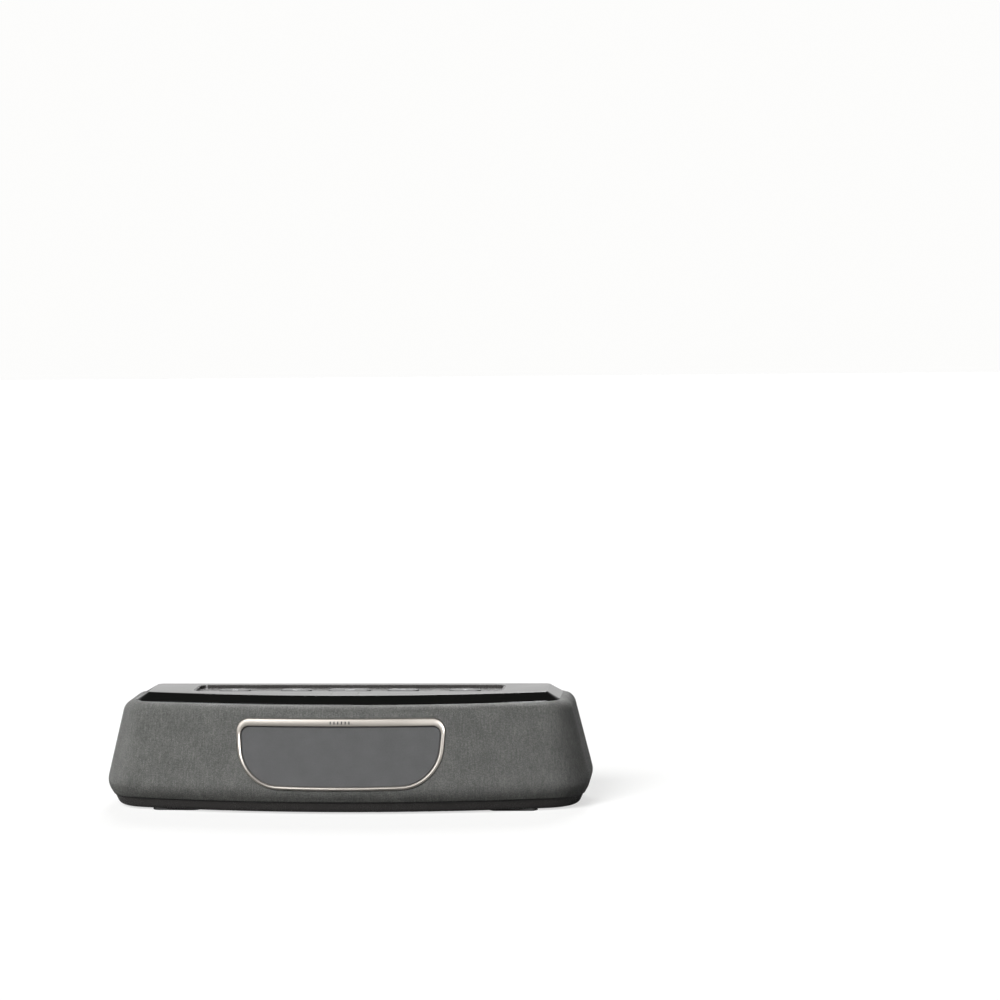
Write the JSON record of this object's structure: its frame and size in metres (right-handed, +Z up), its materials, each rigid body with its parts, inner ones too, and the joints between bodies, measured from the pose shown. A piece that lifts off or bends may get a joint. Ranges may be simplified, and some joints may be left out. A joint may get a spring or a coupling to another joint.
{
  "type": "soundbar",
  "caption": "Compact table-top soundbar with a bowed cloth-wrapped casing, a bevelled gloss top plate with touch keys, and a framed display mesh in front.",
  "frame": {"origin": "on the surface the bar stands on, under the middle of its overall box", "axes": "+X to the right seen from in front, -Y out of the bowed front, +Z up"},
  "size_m": [0.34, 0.1095, 0.08],
  "materials": {
    "speaker_cloth": "knitted polyester speaker cloth",
    "gloss_black": "high gloss black moulding",
    "satin_black": "fine moulded texture",
    "key_rubber": "satin key caps with pale printed symbols",
    "inner_plastic": "plain moulding",
    "ring_metal": "satin champagne silver",
    "display_cloth": "fine dark mesh",
    "foot_rubber": "soft rubber",
    "board_green": "solder mask",
    "chip_black": "moulded packages",
    "heat_sink_metal": "extruded",
    "light_diffuser": "milky diffuser",
    "socket_black": "moulded sockets",
    "socket_tin": "plated socket shells",
    "screw_steel": "black-passivated steel",
    "lead_jacket": "flexible lead jacket",
    "tweeter_silk": "coated silk",
    "tweeter_body": "moulded tweeter housing",
    "basket_steel": "painted pressed steel",
    "magnet_ferrite": "zinc-plated plates round a ferrite ring",
    "cone_paper": "pressed paper pulp",
    "surround_rubber": "butyl rubber"
  },
  "bodies": {
    "casing": {"aux_jack": "socket_black", "base_screws": "screw_steel", "base_tray": "satin_black", "board_chips": "chip_black", "board_screws": "screw_steel", "cabinet": "inner_plastic", "capacitors": "chip_black", "control_panel": "satin_black", "display_mesh": "display_cloth", "driver_screws": "screw_steel", "front_left_woofer_frame": "basket_steel", "front_left_woofer_motor": "magnet_ferrite", "front_left_woofer_suspension": "surround_rubber", "front_right_woofer_frame": "basket_steel", "front_right_woofer_motor": "magnet_ferrite", "front_right_woofer_suspension": "surround_rubber", "grille_cloth": "speaker_cloth", "grille_frame": "inner_plastic", "heat_sink": "heat_sink_metal", "jack_plate": "inner_plastic", "keypad_board": "board_green", "keypad_screws": "screw_steel", "keypad_switches": "chip_black", "left_tweeter": "tweeter_body", "light_board": "board_green", "light_diffuser": "light_diffuser", "main_board": "board_green", "network_socket": "socket_tin", "optical_socket": "socket_black", "power_inlet": "socket_black", "rear_cover": "satin_black", "rear_cover_screws": "screw_steel", "right_tweeter": "tweeter_body", "rubber_feet": "foot_rubber", "sensor_window": "gloss_black", "service_socket": "socket_tin", "side_left_woofer_frame": "basket_steel", "side_left_woofer_motor": "magnet_ferrite", "side_left_woofer_suspension": "surround_rubber", "side_right_woofer_frame": "basket_steel", "side_right_woofer_motor": "magnet_ferrite", "side_right_woofer_suspension": "surround_rubber", "speaker_leads": "lead_jacket", "top_plate": "gloss_black", "top_plate_screws": "screw_steel", "trim_ring": "ring_metal", "tweeter_domes": "tweeter_silk", "video_socket": "socket_tin", "wireless_module": "board_green"},
    "power_button": {"power_button": "key_rubber"},
    "source_button": {"source_button": "key_rubber"},
    "pairing_button": {"pairing_button": "key_rubber"},
    "volume_down_button": {"volume_down_button": "key_rubber"},
    "volume_up_button": {"volume_up_button": "key_rubber"},
    "front_left_cone": {"front_left_woofer_cone": "cone_paper"},
    "front_right_cone": {"front_right_woofer_cone": "cone_paper"},
    "side_left_cone": {"side_left_woofer_cone": "cone_paper"},
    "side_right_cone": {"side_right_woofer_cone": "cone_paper"},
    "optical_shutter": {"optical_shutter": "socket_black"}
  },
  "joints": [
    {"name": "power_press", "type": "slide", "parent": "casing", "child": "power_button", "axis": [0, 0, 1], "range_m": [-0.0008, 0], "stiffness_N_per_m": 800},
    {"name": "source_press", "type": "slide", "parent": "casing", "child": "source_button", "axis": [0, 0, 1], "range_m": [-0.0008, 0], "stiffness_N_per_m": 800},
    {"name": "pairing_press", "type": "slide", "parent": "casing", "child": "pairing_button", "axis": [0, 0, 1], "range_m": [-0.0008, 0], "stiffness_N_per_m": 800},
    {"name": "volume_down_press", "type": "slide", "parent": "casing", "child": "volume_down_button", "axis": [0, 0, 1], "range_m": [-0.0008, 0], "stiffness_N_per_m": 800},
    {"name": "volume_up_press", "type": "slide", "parent": "casing", "child": "volume_up_button", "axis": [0, 0, 1], "range_m": [-0.0008, 0], "stiffness_N_per_m": 800},
    {"name": "front_left_cone_stroke", "type": "slide", "parent": "casing", "child": "front_left_cone", "axis": [-0.1941, -0.9515, 0.2385], "range_m": [-0.0015, 0.0015], "stiffness_N_per_m": 900, "deforming": ["front_left_woofer_suspension"]},
    {"name": "front_right_cone_stroke", "type": "slide", "parent": "casing", "child": "front_right_cone", "axis": [0.1941, -0.9515, 0.2385], "range_m": [-0.0015, 0.0015], "stiffness_N_per_m": 900, "deforming": ["front_right_woofer_suspension"]},
    {"name": "side_left_cone_stroke", "type": "slide", "parent": "casing", "child": "side_left_cone", "axis": [-0.9711, 0, 0.2385], "range_m": [-0.0015, 0.0015], "stiffness_N_per_m": 900, "deforming": ["side_left_woofer_suspension"]},
    {"name": "side_right_cone_stroke", "type": "slide", "parent": "casing", "child": "side_right_cone", "axis": [0.9711, 0, 0.2385], "range_m": [-0.0015, 0.0015], "stiffness_N_per_m": 900, "deforming": ["side_right_woofer_suspension"]},
    {"name": "optical_shutter_swing", "type": "hinge", "parent": "casing", "child": "optical_shutter", "pos_m": [-0.028, 0.0412, 0.0246], "axis": [-1, 0, 0], "range_deg": [0, 75], "stiffness_Nm_per_rad": 0.0004, "springref_deg": -5.73}
  ]
}
